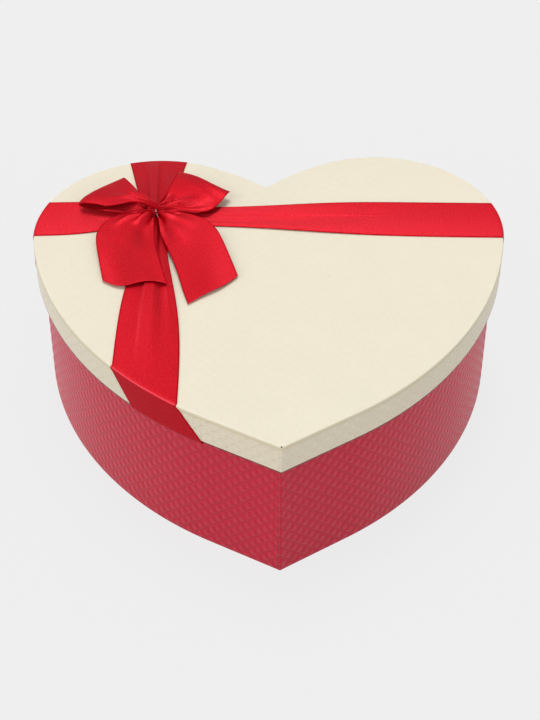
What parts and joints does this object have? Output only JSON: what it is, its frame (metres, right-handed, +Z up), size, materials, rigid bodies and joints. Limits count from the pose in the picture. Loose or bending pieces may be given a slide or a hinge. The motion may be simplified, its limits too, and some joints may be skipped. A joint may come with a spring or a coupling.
{
  "type": "heart-shaped gift box",
  "caption": "Heart-shaped rigid gift box with a lift-off lid, paper covered, with satin ribbon bands and a tied bow on the lid.",
  "frame": {"origin": "middle of the box's outline on the surface it stands on", "axes": "+Z up, +X to the right across both lobes, +Y from the tip towards the notch"},
  "size_m": [0.2908, 0.2669, 0.12],
  "materials": {
    "red_paper": "embossed, soft sheen",
    "cream_paper": "embossed, soft sheen",
    "greyboard": "matte",
    "lining_paper": "matte",
    "red_satin": "satin weave",
    "silver_wire": "bright"
  },
  "bodies": {
    "base": {"base_bottom_paper": "red_paper", "base_floor_board": "greyboard", "base_floor_lining": "lining_paper", "base_wall_left": "greyboard", "base_wall_right": "greyboard", "base_wrap_left": "red_paper", "base_wrap_right": "red_paper", "base_wall_lining_left": "lining_paper", "base_wall_lining_right": "lining_paper"},
    "lid": {"lid_top_board": "greyboard", "lid_top_paper": "cream_paper", "lid_lining": "lining_paper", "lid_skirt_left": "greyboard", "lid_skirt_right": "greyboard", "lid_wrap_left": "cream_paper", "lid_wrap_right": "cream_paper", "cross_ribbon": "red_satin", "long_ribbon": "red_satin", "bow": "red_satin", "tie_wire": "silver_wire"}
  },
  "joints": [
    {"name": "lid_lift", "type": "slide", "parent": "base", "child": "lid", "axis": [0, 0, 1], "range_m": [0, 0.06]}
  ]
}
